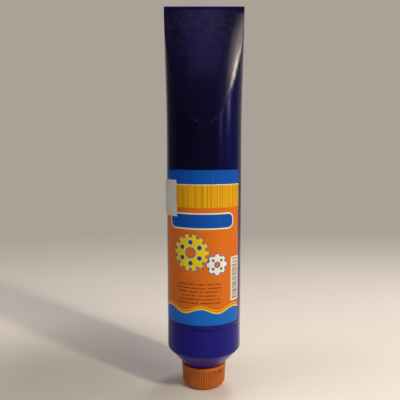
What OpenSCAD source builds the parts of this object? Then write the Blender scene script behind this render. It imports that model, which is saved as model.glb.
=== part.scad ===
// Squeeze tube of grease, standing on its ribbed screw cap.
// Z runs up the tube's axis from the foot of the cap, and the label faces -Y.

/* [Tube body] */
// Outside diameter of the round body
body_d = 48; // [40:0.5:56]
// Wall thickness of the body
wall = 1.2; // [0.8:0.1:1.8]
// Length of the round body, from the shoulder to the foot of the fold
body_len = 144.5; // [125:0.5:200]
// Slope of the shoulder, from level
shoulder_angle = 48; // [30:1:55]
// Radius of the edge between the shoulder and the body
shoulder_round = 2.5; // [1:0.5:4]

/* [Flat end] */
// Height over which the round body closes to the seam
fold_len = 72.5; // [50:0.5:110]
// Height of the welded seam
seam_h = 1.5; // [1:0.5:6]
// Thickness of the welded seam at its ends
seam_t = 1.6; // [1.2:0.1:3]
// Width of the welded seam
seam_w = 50.6; // [44:0.2:58]
// How far the two faces of the fold swell out of flat
fold_swell = 2.2; // [0:0.1:4]

/* [Neck and thread] */
// Diameter of the neck, under its thread
neck_d = 22; // [18:0.5:26]
// Wall thickness of the neck
neck_wall = 2; // [1.2:0.1:3]
// Length of the neck, from its lip to the shoulder
neck_len = 12.2; // [11:0.1:18]
// Height of the thread ridge
thread_depth = 1; // [0.6:0.1:1.4]
// Rise of the thread in one turn
thread_pitch = 3; // [2.5:0.1:4]
// Width of the thread ridge at its root
thread_root_w = 1.4; // [1:0.1:1.6]
// Width of the thread ridge at its crest
thread_crest_w = 0.7; // [0.4:0.1:0.9]
// Distance from the lip to the middle of the first thread
thread_start = 1.8; // [1.4:0.1:2.4]
// Turns of thread on the neck
neck_turns = 1.75; // [1:0.25:2]
// Turns of thread in the cap
cap_turns = 1.5; // [1:0.25:1.75]

/* [Screw cap] */
// Thickness of the cap's end wall
cap_end = 2.8; // [1.2:0.1:4]
// Wall thickness of the cap at its smooth rim
cap_wall = 2.3; // [1.5:0.1:3]
// How much smaller the cap's radius is at its foot than at its rim
cap_taper = 0.8; // [0:0.1:0.8]
// Radius of the edge round the cap's foot
cap_edge = 2.2; // [0.6:0.1:2.4]
// Height of the smooth band at the rim
rim_band = 1.8; // [1:0.1:3]
// Bevel of the rim's outer edge
rim_bevel = 0.3; // [0.1:0.1:0.6]
// Number of grip ribs
rib_count = 60; // [24:1:72]
// Width of one rib
rib_w = 0.84; // [0.6:0.02:1]
// How far a rib stands out
rib_h = 0.35; // [0.2:0.05:0.4]
// Height of the ribs' lower ends above the foot
rib_foot = 2.2; // [1:0.1:3]
// Thickness of the sealing liner in the cap
liner_t = 1.2; // [0.8:0.1:2]

/* [Label and sticker] */
// Height of the front label
label_h = 96; // [60:1:100]
// Arc that the label covers, in degrees
label_arc = 135; // [90:1:200]
// Turn of the label's middle, in degrees to the right of the front
label_turn = -5; // [-20:1:20]
// Distance from the shoulder's edge to the label's lower edge
label_rise = 21; // [10:0.5:24]
// Thickness of the label
label_t = 0.15; // [0.1:0.05:0.3]
// Width of the price sticker
sticker_w = 16; // [12:0.5:20]
// Height of the price sticker
sticker_h = 22.5; // [16:0.5:30]
// Distance from the label's upper edge down to the sticker
sticker_drop = 6.2; // [2:0.2:20]
// Turn of the sticker's middle, in degrees to the right of the front
sticker_turn = -63; // [-75:1:-50]
// Thickness of the sticker
sticker_t = 0.1; // [0.1:0.05:0.2]
// Radius of the notches in the sticker's sides
notch_r = 0.9; // [0.5:0.1:1.2]
// Distance between the two notches of a side
notch_pitch = 2.7; // [2.4:0.1:4]

/* [Grease] */
// Height of the grease above the foot of the fold
fill_rise = 30; // [10:1:45]

/* [Clearances] */
// Radial gap between the thread crests and the walls that they face
thread_gap = 0.4; // [0.3:0.05:0.6]
// Gap between the cap's rim and the shoulder
rim_gap = 1.2; // [0.6:0.1:2]
// Radial gap round the liner
liner_gap = 0.2; // [0.1:0.05:0.4]
// Gap between the grease and the walls
fill_gap = 0.1; // [0.05:0.01:0.2]
// Glue line under the label and the sticker
glue_gap = 0.03; // [0.02:0.01:0.05]

/* [Hidden] */
$fn = 96;

// Radii
body_r = body_d / 2;
neck_r = neck_d / 2;
mouth_r = neck_r - neck_wall;
cap_bore_r = neck_r + thread_depth + thread_gap;
cap_r = cap_bore_r + cap_wall;
cap_foot_r = cap_r - cap_taper;
label_r = body_r + glue_gap;
sticker_r = label_r + label_t + glue_gap;

// Heights above the foot of the cap
lip_z = cap_end + liner_t;
shoulder_z = lip_z + neck_len;
cap_h = shoulder_z - rim_gap;
edge_z = shoulder_z + (body_r - cap_r) * tan(shoulder_angle);
fold_z = edge_z + body_len;
seam_z = fold_z + fold_len;
top_z = seam_z + seam_h;
label_z = edge_z + label_rise;
sticker_z = label_z + label_h - sticker_drop - sticker_h;

// Steps in the rounded edges
edge_steps = 5;
// Bevel of the neck's lip
lip_bevel = 0.4;

// Thread ridges: steps in a turn, share of a turn over which an end fades, and depth sunk in the wall
thread_steps = 30;
thread_lead = 0.12;
thread_sunk = 0.4;

// Steps of the fold: round a side, across a face and up its height
side_steps = 20;
face_steps = 12;
fold_steps = 11;
// Angle from the front at which the creases start, and the height of the round joint below them
crease_start = 7;
fold_root = 2;
// How far the round body reaches up into the skin of the fold, and the height where that skin starts
joint_lap = 0.5;
joint_z = fold_z - fold_root - joint_lap;
// The same height for the grease, below the tube's own joint
fill_joint_z = joint_z - 2 * joint_lap;
// How sharply the swell of a face falls off at its creases
face_power = 4;
// Extra half thickness in the middle of the seam
seam_crown = 0.1;
// Half thickness of the hollow at its closed top, and its distance below the seam
slit = 0.2;
slit_drop = 2;
// The faceted ring clears the round body by this much, on the outside and on the inside
ring_clear = 0.01;

// Even blend from 0 to 1 with level ends
function ease(t) = t * t * (3 - 2 * t);

function reversed(list) = [for (i = [len(list) - 1 : -1 : 0]) list[i]];

// Points on an arc about a centre, from one angle to another
function arc(centre, r, from, to) =
    [for (i = [0 : edge_steps])
        let (a = from + (to - from) * i / edge_steps)
        centre + r * [cos(a), sin(a)]];

// Skin over a run of rings that each turn counter-clockwise as seen from the ring before
module skin_over(rings) {
    n = len(rings[0]);
    m = len(rings);
    sides = [for (k = [0 : m - 2], i = [0 : n - 1])
        let (a = k * n + i, b = k * n + (i + 1) % n)
        each [[a, b, b + n], [a, b + n, a + n]]];
    first = [for (i = [n - 1 : -1 : 0]) i];
    last = [for (i = [0 : n - 1]) (m - 1) * n + i];
    polyhedron([for (ring = rings) each ring], concat([first], sides, [last]));
}

// Helical ridge on a wall at root_r, with its crest at crest_r and with faded ends
module thread_ridge(root_r, crest_r, start_z, turns) {
    steps = ceil(thread_steps * turns);
    lead = thread_steps * thread_lead;
    depth = crest_r - root_r;
    wall_r = root_r - sign(depth) * thread_sunk;
    half_root = thread_root_w / 2;
    half_crest = thread_crest_w / 2;
    skin_over([for (k = [0 : steps])
        let (
            a = 360 * turns * k / steps,
            z = start_z + thread_pitch * turns * k / steps,
            rise = min(1, k / lead - thread_lead, (steps - k) / lead - thread_lead),
            tip_r = root_r + depth * rise,
            outward = [[wall_r, -half_root], [tip_r, -half_crest], [tip_r, half_crest], [wall_r, half_root]],
            inward = [[tip_r, -half_crest], [wall_r, -half_root], [wall_r, half_root], [tip_r, half_crest]]
        )
        [for (p = depth > 0 ? outward : inward) [p.x * cos(a), p.x * sin(a), z + p.y]]]);
}

// Angles of the points round one side of the fold, and places of the points across one face
function side_angles(crease) =
    [for (i = [0 : side_steps]) crease + (180 - 2 * crease) * i / side_steps];
function face_places() = [for (i = [1 : face_steps - 1]) cos(180 * i / face_steps)];

// A half ring, and the same half turned round to the other side
function both_halves(half) = concat(half, [for (p = half) [-p.x, -p.y, p.z]]);

// Round ring with as many points as a section of the fold
function round_ring(r, z) =
    let (angles = concat(
        side_angles(crease_start),
        [for (u = face_places()) 180 - crease_start * u]))
    both_halves([for (a = angles) [r * sin(a), -r * cos(a), z]]);

// Section of the fold at height z: two round sides, and two swollen faces that meet them at the creases.
// inset draws it in from the outside, and half_t is half its thickness at the seam's ends
function fold_ring(inset, half_t, z) =
    let (
        r = body_r - inset,
        t = min((z - fold_z) / fold_len, 1),
        half_w = r + (seam_w / 2 - body_r) * ease(t),
        crease = acos(max(1 - t, half_t / r)),
        face_w = half_w * sin(crease),
        face_y = r * cos(crease),
        middle = r * (1 - t) + half_t * t + fold_swell * 4 * t * (1 - t),
        swell = max(middle - face_y, seam_crown),
        side = [for (a = side_angles(crease)) [half_w * sin(a), -r * cos(a), z]],
        face = [for (u = face_places()) [face_w * u, face_y + swell * (1 - pow(abs(u), face_power)), z]]
    )
    both_halves(concat(side, face));

// Heights of the fold's sections from its foot up to a limit, closer together where the creases are level
function fold_heights(limit) =
    [for (i = [0 : fold_steps])
        let (z = seam_z - fold_len * cos(crease_start + (90 - crease_start) * i / fold_steps))
        if (z < limit) z];

// Sections of the hollow, drawn in by gap, from a round ring at foot_z up to a limit
function hollow_rings(gap, foot_z, limit) =
    concat(
        [round_ring(body_r - wall - gap - ring_clear, foot_z)],
        [for (z = concat(fold_heights(limit - slit), [limit])) fold_ring(wall + gap, slit, z)]);

// Sections of the outside, from the round rings about the joint up to the top of the seam
function outside_rings() =
    let (
        step = (180 - 2 * crease_start) / side_steps,
        joint_r = (body_r + ring_clear) / cos(step / 2)
    )
    concat(
        [for (z = [joint_z, joint_z + joint_lap]) round_ring(joint_r, z)],
        [for (z = concat(fold_heights(seam_z), [seam_z, top_z])) fold_ring(0, seam_t / 2, z)]);

// Outline of the round hollow from the mouth up to a top, drawn in by gap
function hollow_outline(gap, top) =
    let (
        slope = tan(shoulder_angle),
        slant = (wall + gap) / cos(shoulder_angle),
        floor_z = shoulder_z + wall + gap,
        side_r = body_r - wall - gap
    )
    [[mouth_r - gap, lip_z + gap],
     [mouth_r - gap, floor_z],
     [cap_r + (floor_z - shoulder_z - slant) / slope, floor_z],
     [side_r, shoulder_z + (side_r - cap_r) * slope + slant],
     [side_r, top]];

// Outline of the tube's outside from the lip up to the fold
function outside_outline() =
    let (edge_rise = shoulder_round * tan((90 - shoulder_angle) / 2))
    concat(
        [[neck_r - lip_bevel, lip_z],
         [neck_r, lip_z + lip_bevel],
         [neck_r, shoulder_z],
         [cap_r, shoulder_z]],
        arc([body_r - shoulder_round, edge_z + edge_rise], shoulder_round, shoulder_angle - 90, 0),
        [[body_r, joint_z + joint_lap]]);

// Outline of the cap's outside, under its ribs
function cap_outline() =
    let (root_r = cap_foot_r - rib_h)
    concat(
        [[0, 0]],
        arc([root_r - cap_edge, cap_edge], cap_edge, -90, 0),
        [[cap_r - rib_h, cap_h - rim_band - rib_h],
         [cap_r, cap_h - rim_band],
         [cap_r, cap_h - rim_bevel],
         [cap_r - rim_bevel, cap_h],
         [0, cap_h]]);

// One round grip rib that leans with the cap's taper
module grip_rib() {
    lean = atan(cap_taper / cap_h);
    length = (cap_h - rim_band - rib_foot) / cos(lean);
    foot_r = cap_foot_r + cap_taper * rib_foot / cap_h - rib_w / 2;
    translate([foot_r, 0, rib_foot])
        rotate([0, lean, 0])
            cylinder(h = length, d = rib_w);
}

// Patch of a thin round skin, centred on an angle to the right of the front
module skin_patch(r, t, z, h, turn, arc_angle) {
    rotate([0, 0, turn - 90 - arc_angle / 2])
        rotate_extrude(angle = arc_angle)
            translate([r, z])
                square([t, h]);
}

module screw_cap() {
    color("darkorange") {
        difference() {
            union() {
                rotate_extrude()
                    polygon(cap_outline());
                for (i = [0 : rib_count - 1])
                    rotate([0, 0, 360 * i / rib_count])
                        grip_rib();
            }
            translate([0, 0, cap_end])
                cylinder(h = cap_h, r = cap_bore_r);
        }
        thread_ridge(
            cap_bore_r,
            cap_bore_r - thread_depth,
            lip_z + thread_start + thread_pitch / 2,
            cap_turns);
    }
}

module cap_liner() {
    color("ivory")
        translate([0, 0, cap_end])
            cylinder(h = liner_t, r = cap_bore_r - liner_gap);
}

module tube_body() {
    color("midnightblue") {
        rotate_extrude()
            polygon(concat(outside_outline(), reversed(hollow_outline(0, joint_z + joint_lap))));
        skin_over(concat(reversed(outside_rings()), hollow_rings(0, joint_z, seam_z - slit_drop)));
        thread_ridge(neck_r, neck_r + thread_depth, lip_z + thread_start, neck_turns);
    }
}

module grease_fill() {
    top = fill_joint_z + joint_lap;
    color("dimgray") {
        rotate_extrude()
            polygon(concat([[0, lip_z + fill_gap]], hollow_outline(fill_gap, top), [[0, top]]));
        skin_over(reversed(hollow_rings(fill_gap, fill_joint_z, fold_z + fill_rise)));
    }
}

module front_label() {
    color("orange")
        skin_patch(label_r, label_t, label_z, label_h, label_turn, label_arc);
}

module price_sticker() {
    arc_angle = sticker_w / sticker_r * 180 / PI;
    color("white")
        difference() {
            skin_patch(sticker_r, sticker_t, sticker_z, sticker_h, sticker_turn, arc_angle);
            for (side = [-1, 1], step = [-1, 1])
                rotate([0, 0, sticker_turn - 90 + side * arc_angle / 2])
                    translate([body_r, 0, sticker_z + (sticker_h + step * notch_pitch) / 2])
                        rotate([0, 90, 0])
                            cylinder(h = 2 * wall, r = notch_r);
        }
}

screw_cap();
cap_liner();
tube_body();
grease_fill();
front_label();
price_sticker();
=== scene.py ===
"""Squeeze tube of grease, standing on its ribbed screw cap: the looks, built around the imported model."""

import math

import bpy
from bpy.props import FloatProperty, FloatVectorProperty, IntProperty, PointerProperty
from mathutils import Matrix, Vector, noise


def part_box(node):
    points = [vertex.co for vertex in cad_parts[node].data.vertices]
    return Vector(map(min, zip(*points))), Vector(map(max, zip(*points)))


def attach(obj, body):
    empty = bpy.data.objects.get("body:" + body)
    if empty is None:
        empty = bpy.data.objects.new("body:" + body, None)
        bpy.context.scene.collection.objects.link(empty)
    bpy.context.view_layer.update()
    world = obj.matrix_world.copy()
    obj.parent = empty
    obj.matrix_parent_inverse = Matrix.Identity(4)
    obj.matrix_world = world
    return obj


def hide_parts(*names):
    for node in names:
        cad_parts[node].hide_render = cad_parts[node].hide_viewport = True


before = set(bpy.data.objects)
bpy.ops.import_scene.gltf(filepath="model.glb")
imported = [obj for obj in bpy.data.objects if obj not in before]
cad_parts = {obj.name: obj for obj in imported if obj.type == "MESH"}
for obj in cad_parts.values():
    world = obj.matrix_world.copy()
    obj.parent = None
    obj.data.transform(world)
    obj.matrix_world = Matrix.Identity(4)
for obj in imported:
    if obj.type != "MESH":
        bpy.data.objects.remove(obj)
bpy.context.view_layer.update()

bl_info = {
    "name": "Grease tube",
    "version": (1, 0, 0),
    "blender": (4, 5, 0),
    "location": "View3D > Sidebar > Grease tube",
    "description": "Builds a squeeze tube of grease with its screw cap, label and sticker",
    "category": "Object",
}

MM = 0.001

# Boxes of the solids that the pieces stand for
TUBE_LOW, TUBE_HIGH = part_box("tube_body")
_, CAP_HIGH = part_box("screw_cap")
LINER_LOW, LINER_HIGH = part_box("cap_liner")
_, GREASE_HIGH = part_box("grease_fill")
LABEL_LOW, LABEL_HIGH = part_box("front_label")
STICKER_LOW, STICKER_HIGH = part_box("price_sticker")


# Settings

def length(name, description, default):
    """A length in metres."""
    return FloatProperty(name=name, description=description, default=default, unit="LENGTH", precision=5)


def turn(name, description, degrees):
    """An angle, given in degrees and kept in radians."""
    return FloatProperty(name=name, description=description, default=math.radians(degrees), subtype="ANGLE")


def share(name, description, default):
    """A plain number."""
    return FloatProperty(name=name, description=description, default=default)


def count(name, description, default):
    """A whole number."""
    return IntProperty(name=name, description=description, default=default, min=1)


def colour(thing, default):
    """A linear colour, given with the thing that has it."""
    return FloatVectorProperty(
        name=thing.capitalize(), description=f"Colour of the {thing}", default=default,
        size=3, subtype="COLOR", min=0, max=1)


class TubeSettings(bpy.types.PropertyGroup):
    """Sizes and colours of the tube and of the grease in it."""
    body_r: length("Body radius", "Outside radius of the round body", 24 * MM)
    wall: length("Wall", "Wall thickness of the body", 1.2 * MM)
    lip_z: length("Lip height", "Height of the neck's lip", TUBE_LOW.z)
    neck_r: length("Neck radius", "Radius of the neck under its thread", 11 * MM)
    mouth_r: length("Mouth radius", "Radius of the opening in the neck", 9 * MM)
    lip_bevel: length("Lip bevel", "Bevel of the lip's edges", 0.4 * MM)
    shoulder_z: length("Shoulder height", "Height of the shoulder's flat foot", TUBE_LOW.z + 12.2 * MM)
    shoulder_r: length("Shoulder radius", "Radius where the cone of the shoulder starts", 14.7 * MM)
    shoulder_angle: turn("Shoulder slope", "Slope of the cone, from level", 48)
    shoulder_round: length("Shoulder edge", "Radius of the edge between the cone and the body", 2.5 * MM)
    line_drop: length("Line drop", "Distance from the label down to the fine line round the body", 3.1 * MM)
    line_depth: length("Line depth", "Depth of the fine line", 0.15 * MM)
    fold_z: length("Fold height", "Height where the two creases start", TUBE_HIGH.z - 74 * MM)
    seam_z: length("Seam height", "Height where the faces meet the seam", TUBE_HIGH.z - 1.5 * MM)
    top_z: length("Top", "Height of the seam's upper edge", TUBE_HIGH.z)
    seam_half_w: length("Seam half width", "Half the width of the seam", TUBE_HIGH.x)
    seam_half_t: length("Seam half thickness", "Half the thickness of the seam at its ends", 0.8 * MM)
    seam_crown: length("Seam crown", "Extra half thickness in the middle of the seam", 0.1 * MM)
    fold_swell: length("Face swell", "How far the two faces swell out of flat", 2.2 * MM)
    face_power: share("Face falloff", "How sharply the swell falls off at the creases", 4)
    crease_round: length("Crease rounding", "Reach of the rounding on each side of a crease", 0.28 * MM)
    slit: length("Slit", "Half thickness of the hollow at its closed top", 0.2 * MM)
    slit_drop: length("Slit depth", "Distance from the seam's foot down to the closed top", 2 * MM)
    ripple: length("Ripple", "Depth of the slight unevenness of the skin", 0.12 * MM)
    fill_gap: length("Fill gap", "Gap between the grease and the walls", 0.1 * MM)
    fill_z: length("Fill height", "Height of the grease", GREASE_HIGH.z)
    # Painted light in the body's colours: the brighter indigo at the shoulder stands in for floor light
    # glowing up through the plastic, and the upper wall is painted darker, lighter on the lit right side.
    plastic: colour("indigo plastic at the shoulder", (0.004, 0.002, 0.235))
    shaded_wall: colour("wall with dark grease close behind it", (0.0025, 0.0015, 0.02))
    thin: colour("wall at the right, with less grease behind it", (0.004, 0.003, 0.06))
    empty: colour("wall above the grease", (0.003, 0.002, 0.027))
    weld: colour("thin welded edge", (0.005, 0.005, 0.12))
    blotch: colour("dark blotches", (0, 0, 0.01))
    # The lighter creases are partly wear and partly a painted highlight along each crease.
    wear_and_glint: colour("worn creases", (0.07, 0.065, 0.16))
    scuff: colour("scuffs", (0.05, 0.045, 0.2))
    grease: colour("grease", (0.03, 0.03, 0.033))


class ThreadSettings(bpy.types.PropertyGroup):
    """Sizes of the screw thread on the neck and in the cap."""
    pitch: length("Pitch", "Rise in one turn", 3 * MM)
    depth: length("Depth", "Height of the ridge", 1 * MM)
    root_w: length("Root width", "Width of the ridge at its root", 1.4 * MM)
    crest_w: length("Crest width", "Width of the ridge at its crest", 0.7 * MM)
    start: length("Start", "Distance from the lip to the middle of the first turn", 1.8 * MM)
    lead: share("Lead", "Share of a turn over which an end fades", 0.12)
    neck_turns: share("Neck turns", "Turns of the ridge on the neck", 1.75)
    cap_turns: share("Cap turns", "Turns of the ridge in the cap", 1.5)


class CapSettings(bpy.types.PropertyGroup):
    """Sizes and colours of the screw cap and its liner."""
    height: length("Height", "Height of the cap", CAP_HIGH.z)
    rim_r: length("Rim radius", "Radius of the smooth rim", CAP_HIGH.x)
    taper: length("Taper", "How much smaller the radius is at the foot", 0.8 * MM)
    bore_r: length("Bore radius", "Radius of the bore", 12.4 * MM)
    floor_z: length("End wall", "Thickness of the end wall", LINER_LOW.z)
    edge_round: length("Foot edge", "Radius of the edge round the foot", 2.2 * MM)
    rim_band: length("Rim band", "Height of the smooth band at the rim", 1.8 * MM)
    rim_bevel: length("Rim bevel", "Bevel of the rim's edges", 0.3 * MM)
    rib_count: count("Ribs", "Number of grip ribs", 60)
    rib_w: length("Rib width", "Width of one rib", 0.84 * MM)
    rib_h: length("Rib height", "How far a rib stands out", 0.35 * MM)
    rib_foot: length("Rib foot", "Height of the ribs' lower ends", 2.2 * MM)
    liner_r: length("Liner radius", "Radius of the sealing liner", LINER_HIGH.x)
    liner_top: length("Liner top", "Height of the liner's upper face", LINER_HIGH.z)
    lip_mark: length("Lip mark", "Depth of the ring that the lip presses into the liner", 0.08 * MM)
    plastic: colour("orange plastic", (0.57, 0.124, 0.009))
    # The lighter crests are a painted highlight on the ribs.
    crest: colour("rubbed crests of the ribs", (0.76, 0.25, 0.06))
    scuff: colour("scuffs", (0.62, 0.24, 0.09))
    smudge: colour("greasy thumb mark", (0.05, 0.018, 0.01))
    liner: colour("liner's foam", (0.72, 0.69, 0.62))


class LabelSettings(bpy.types.PropertyGroup):
    """Sizes and inks of the front label."""
    inner_r: length("Radius", "Radius of the label's glued face", 24.03 * MM)
    thickness: length("Thickness", "Thickness of the film", 0.15 * MM)
    low_z: length("Lower edge", "Height of the lower edge", LABEL_LOW.z)
    high_z: length("Upper edge", "Height of the upper edge", LABEL_HIGH.z)
    arc: turn("Arc", "Angle that the label covers", 135)
    middle: turn("Middle", "Turn of the label's middle, to the right of the front", -5)
    corner: length("Corners", "Radius of the corners", 2.5 * MM)
    blue: colour("deep blue ink", (0.002, 0.074, 0.45))
    azure: colour("lighter blue foot", (0.004, 0.13, 0.62))
    yellow: colour("yellow ink", (0.78, 0.6, 0.009))
    amber: colour("amber band", (0.73, 0.38, 0.006))
    stripe: colour("darker stripes in the amber band", (0.48, 0.215, 0.003))
    orange: colour("main orange field", (0.65, 0.15, 0.009))
    maroon: colour("fine rules", (0.13, 0.012, 0.01))
    black: colour("dark bars", (0.02, 0.018, 0.018))
    white: colour("bare white film", (0.78, 0.77, 0.72))


class StickerSettings(bpy.types.PropertyGroup):
    """Sizes and colours of the paper price sticker."""
    inner_r: length("Radius", "Radius of the sticker's glued face", 24.21 * MM)
    thickness: length("Thickness", "Thickness of the paper", 0.1 * MM)
    low_z: length("Lower edge", "Height of the lower edge", STICKER_LOW.z)
    high_z: length("Upper edge", "Height of the upper edge", STICKER_HIGH.z)
    width: length("Width", "Width along the body's curve", 16 * MM)
    middle: turn("Middle", "Turn of the sticker's middle, to the right of the front", -63)
    notch_r: length("Notch radius", "Radius of the notches in its sides", 0.9 * MM)
    notch_pitch: length("Notch distance", "Distance between the two notches of a side", 2.7 * MM)
    lean: turn("Lean", "How far the sticker leans to the left", 1.5)
    curl: length("Curl", "How far the free edge stands off", 0.7 * MM)
    paper: colour("paper", (0.66, 0.69, 0.68))


class StageSettings(bpy.types.PropertyGroup):
    """Camera, floor, background and lamps."""
    camera_place: FloatVectorProperty(
        name="Camera", description="Place of the camera", size=3, unit="LENGTH", subtype="TRANSLATION",
        default=(-2.6 * MM, -305 * MM, TUBE_HIGH.z - 91.6 * MM))
    camera_dip: turn("Camera dip", "How far the camera looks down", 5.65)
    lens: share("Lens", "Focal length in millimetres, on a 36 mm wide sensor", 42.3)
    floor_r: length("Floor radius", "Radius of the floor", 1.4)
    floor: colour("floor", (0.78, 0.74, 0.79))
    wall: colour("pale background behind the tube", (0.4, 0.36, 0.31))
    room: colour("dim room in front of the tube", (0.1, 0.096, 0.09))
    ceiling: colour("dim room overhead", (0.08, 0.077, 0.072))
    lamp: colour("soft lamps", (1, 0.92, 0.8))
    key: colour("bright lamps at the side", (1, 0.92, 0.61))
    glow: colour("cool glows", (0.62, 0.66, 1))
    violet: colour("violet glow overhead", (0.42, 0.35, 1))


class GreaseTubeSettings(bpy.types.PropertyGroup):
    """All settings of the grease tube."""
    tube: PointerProperty(type=TubeSettings)
    thread: PointerProperty(type=ThreadSettings)
    cap: PointerProperty(type=CapSettings)
    label: PointerProperty(type=LabelSettings)
    sticker: PointerProperty(type=StickerSettings)
    stage: PointerProperty(type=StageSettings)


# Shader helpers

class Field:
    """A value that varies over a surface, worked out by nodes of a shader tree."""

    def __init__(self, tree, socket):
        self.tree = tree
        self.socket = socket

    def calc(self, operation, *others):
        """The outcome of a math node with this value first."""
        node = self.tree.nodes.new("ShaderNodeMath")
        node.operation = operation
        for socket, value in zip(node.inputs, (self, *others)):
            plug(self.tree, socket, value)
        return Field(self.tree, node.outputs["Value"])

    def __add__(self, other):
        return self.calc("ADD", other)

    def __sub__(self, other):
        return self.calc("SUBTRACT", other)

    def __mul__(self, other):
        return self.calc("MULTIPLY", other)

    def __truediv__(self, other):
        return self.calc("DIVIDE", other)

    def flip(self):
        """1 minus this value."""
        return self.calc("MULTIPLY_ADD", -1.0, 1.0)

    def rise(self, low, high):
        """0 below low, 1 above high, and smooth between."""
        node = self.tree.nodes.new("ShaderNodeMapRange")
        node.interpolation_type = "SMOOTHSTEP"
        plug_all(self.tree, node, {"Value": self, "From Min": low, "From Max": high})
        return Field(self.tree, node.outputs["Result"])

    def over(self, limit, soft):
        """0 below a limit and 1 above it, with a soft edge."""
        return (self - limit).rise(-soft, soft)

    def under(self, limit, soft):
        """1 below a limit and 0 above it, with a soft edge."""
        return self.over(limit, soft).flip()

    def between(self, low, high, soft):
        """1 from low to high, with soft edges."""
        return self.over(low, soft) * self.under(high, soft)

    def spread(self, low, high):
        """This value, from 0 to 1, spread over low to high."""
        return self.calc("MULTIPLY_ADD", high - low, low)

    def noise(self, scale):
        """Noise from 0 to 1 along this value."""
        node = self.tree.nodes.new("ShaderNodeTexNoise")
        node.noise_dimensions = "1D"
        plug_all(self.tree, node, {"W": self, "Scale": scale, "Detail": 1.0})
        return Field(self.tree, node.outputs[0])

    def mix(self, first, second):
        """A colour that goes from the first to the second as this value goes from 0 to 1."""
        node = self.tree.nodes.new("ShaderNodeMix")
        node.data_type = "RGBA"
        sockets = {socket.identifier: socket for socket in node.inputs}
        for name, value in (("Factor_Float", self), ("A_Color", first), ("B_Color", second)):
            plug(self.tree, sockets[name], value)
        return next(socket for socket in node.outputs if socket.identifier == "Result_Color")

    def mottle(self, rgb, low, high):
        """A colour that goes from one tone to another as this value goes from 0 to 1."""
        return self.mix(tone(rgb, low), tone(rgb, high))


def plug(tree, socket, value):
    """Links a field or a socket to an input, or sets a plain number or colour there."""
    if isinstance(value, Field):
        value = value.socket
    if isinstance(value, bpy.types.NodeSocket):
        tree.links.new(value, socket)
    elif socket.type == "RGBA":
        socket.default_value = (*value, 1)
    else:
        socket.default_value = value


def plug_all(tree, node, inputs):
    """Plugs a node's inputs, which are named with _ for a space."""
    for name, value in inputs.items():
        plug(tree, node.inputs[name.replace("_", " ")], value)


def add_node(tree, kind, **inputs):
    """Adds a node and plugs its inputs."""
    node = tree.nodes.new(kind)
    plug_all(tree, node, inputs)
    return node


def paint(base, *coats):
    """A base colour under coats, each with its mask and its own colour."""
    for mask, coat in coats:
        base = mask.mix(base, coat)
    return base


def tone(rgb, factor):
    """A colour made lighter or darker."""
    return tuple(min(1, part * factor) for part in rgb)


def axes(tree, vector):
    """The three parts of a vector, as fields."""
    parts = add_node(tree, "ShaderNodeSeparateXYZ", Vector=vector).outputs
    return [Field(tree, part) for part in parts]


def surface_place(tree, stretch=(1, 1, 1)):
    """The place on the piece in metres, stretched along each axis."""
    place = tree.nodes.new("ShaderNodeTexCoord").outputs["Object"]
    if stretch == (1, 1, 1):
        return place
    return add_node(tree, "ShaderNodeMapping", Vector=place, Scale=stretch).outputs["Vector"]


def grain(tree, scale, detail, stretch=(1, 1, 1)):
    """Noise from 0 to 1 over the piece, at a scale in features per metre."""
    place = surface_place(tree, stretch)
    node = add_node(tree, "ShaderNodeTexNoise", Vector=place, Scale=scale, Detail=detail)
    return Field(tree, node.outputs[0])


def span(first, second):
    """Length of a step from its two parts at right angles."""
    return (first * first + second * second).calc("SQRT")


def shader_group(name, inputs, outputs, build):
    """A shader node group with float sockets, made once; build gives its outputs from its inputs."""
    if name in bpy.data.node_groups:
        return bpy.data.node_groups[name]
    tree = bpy.data.node_groups.new(name, "ShaderNodeTree")
    for socket, default in inputs.items():
        made = tree.interface.new_socket(name=socket, in_out="INPUT", socket_type="NodeSocketFloat")
        made.default_value = default
    for socket in outputs:
        tree.interface.new_socket(name=socket, in_out="OUTPUT", socket_type="NodeSocketFloat")
    given = tree.nodes.new("NodeGroupInput").outputs
    out = tree.nodes.new("NodeGroupOutput")
    for socket, value in zip(outputs, build(tree, given)):
        plug(tree, out.inputs[socket], value)
    return tree


def place_group(tree, group, **inputs):
    """Places a node group in a material and returns its outputs as fields."""
    node = tree.nodes.new("ShaderNodeGroup")
    node.node_tree = group
    plug_all(tree, node, inputs)
    return [Field(tree, socket) for socket in node.outputs]


def moulded_grain():
    """Fine unevenness of a moulded or printed skin, and its broad blotches."""
    def build(tree, given):
        return grain(tree, given["Scale"], 3.0), grain(tree, given["Blotch Scale"], 4.0)

    return shader_group(
        "Moulded grain", {"Scale": 2500.0, "Blotch Scale": 60.0}, ("Height", "Blotch"), build)


def handling_scuffs():
    """Thin rubbed scratches, mostly along the tube, gathered in patches."""
    def build(tree, given):
        along = grain(tree, given["Fineness"], 1.0, (1, 1, 0.035))
        across = grain(tree, given["Fineness"], 1.0, (0.06, 0.06, 1))
        patches = grain(tree, 70.0, 3.0).rise(0.5, 0.75)
        lines = along.rise(0.66, 0.74) + across.rise(0.7, 0.76) * 0.6
        return (lines * patches * Field(tree, given["Amount"]),)

    return shader_group("Handling scuffs", {"Amount": 0.5, "Fineness": 900.0}, ("Mask",), build)


def settled_dust():
    """Specks of dust, more of them where the surface faces up."""
    def build(tree, given):
        facing_up = axes(tree, tree.nodes.new("ShaderNodeNewGeometry").outputs["Normal"])[2]
        specks = grain(tree, 2600.0, 1.0).rise(0.74, 0.8)
        film = grain(tree, 240.0, 4.0).rise(0.35, 0.8) * facing_up.rise(0.2, 0.9)
        return ((specks * 0.6 + film) * Field(tree, given["Amount"]),)

    return shader_group("Settled dust", {"Amount": 0.3}, ("Mask",), build)


def new_material(name):
    """A node material with its shader: the material, its tree and the shader node."""
    material = bpy.data.materials.new(name)
    material.use_nodes = True
    tree = material.node_tree
    return material, tree, tree.nodes["Principled BSDF"]


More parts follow.
